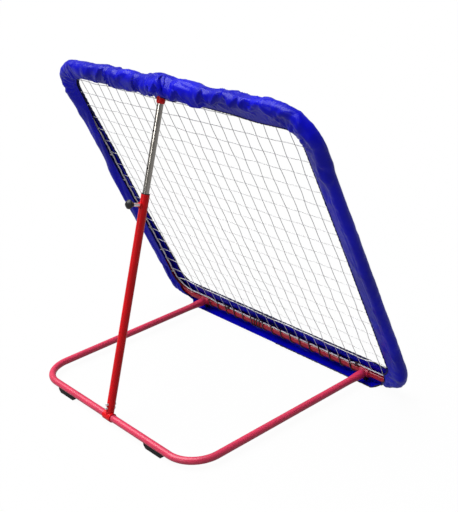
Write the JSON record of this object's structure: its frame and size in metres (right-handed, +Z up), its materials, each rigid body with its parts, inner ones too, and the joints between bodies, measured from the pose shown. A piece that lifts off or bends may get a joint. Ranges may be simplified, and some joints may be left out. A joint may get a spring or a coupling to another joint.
{
  "type": "pitch back rebounder",
  "caption": "Tilting square net frame in a padded cover on a floor base, propped by a telescopic strut with a pull-pin lock.",
  "frame": {"origin": "on the floor, in the middle of the whole part's box", "axes": "+X along the bottom bar, +Y to the rear, where the strut stands, +Z up"},
  "size_m": [1.152, 0.7444, 0.9931],
  "materials": {
    "base_paint": "glossy pink-red paint",
    "frame_paint": "glossy pink-red paint",
    "strut_paint": "glossy red paint",
    "chrome": "polished",
    "bright_steel": "zinc plated",
    "black_rubber": "matt",
    "black_plastic": "satin",
    "white_plastic": "satin",
    "blue_cover": "coated nylon, folded and gathered",
    "cover_liner": "soft wadding",
    "white_cord": "twisted cord",
    "dark_cord": "braided cord"
  },
  "bodies": {
    "base": {"base_tube_left": "base_paint", "base_tube_right": "base_paint", "hinge_sleeve_left": "base_paint", "hinge_sleeve_right": "base_paint", "rubber_foot_left": "black_rubber", "rubber_foot_right": "black_rubber", "front_foot_left": "black_rubber", "front_foot_right": "black_rubber"},
    "frame": {"frame_tube_lower": "frame_paint", "frame_tube_upper": "frame_paint", "frame_joint_screws": "bright_steel", "net_border_rope": "white_cord", "net": "white_cord", "net_ties": "white_cord", "lacing_cord": "dark_cord", "cover_wrap": "blue_cover", "cover_bottom": "blue_cover", "cover_padding": "cover_liner"},
    "strut_lower": {"strut_foot_fitting": "strut_paint", "foot_bolts": "bright_steel", "foot_nuts": "bright_steel", "strut_outer_tube": "strut_paint", "guide_bush": "black_plastic", "lock_boss": "strut_paint", "plunger_sleeve": "chrome", "lock_spring": "bright_steel"},
    "strut_upper": {"strut_inner_tube": "chrome", "inner_end_plug": "white_plastic", "top_fitting": "chrome", "top_bolts": "bright_steel", "top_nuts": "bright_steel"},
    "lock": {"lock_pin": "bright_steel", "lock_knob": "black_plastic"}
  },
  "joints": [
    {"name": "frame_tilt", "type": "hinge", "parent": "base", "child": "frame", "pos_m": [0, -0.3511, 0.03], "axis": [1, 0, 0], "range_deg": [-17.6, 8.9]},
    {"name": "strut_swing", "type": "hinge", "parent": "base", "child": "strut_lower", "pos_m": [0, 0.3582, 0.022], "axis": [1, 0, 0], "range_deg": [-14.25, 7.2]},
    {"name": "strut_slide", "type": "slide", "parent": "strut_lower", "child": "strut_upper", "axis": [0, -0.3045, 0.9525], "range_m": [-0.2095, 0.106]},
    {"name": "lock_pull", "type": "slide", "parent": "strut_lower", "child": "lock", "axis": [0, 0.9525, 0.3045], "range_m": [0, 0.008], "stiffness_N_per_m": 600, "springref_m": -0.012, "deforming": ["lock_spring"]}
  ],
  "couplings": [
    {"joint": "strut_swing", "follows": "frame_tilt", "ratio": 0.8066},
    {"joint": "strut_slide", "follows": "frame_tilt", "m_per_rad": 0.6807}
  ]
}
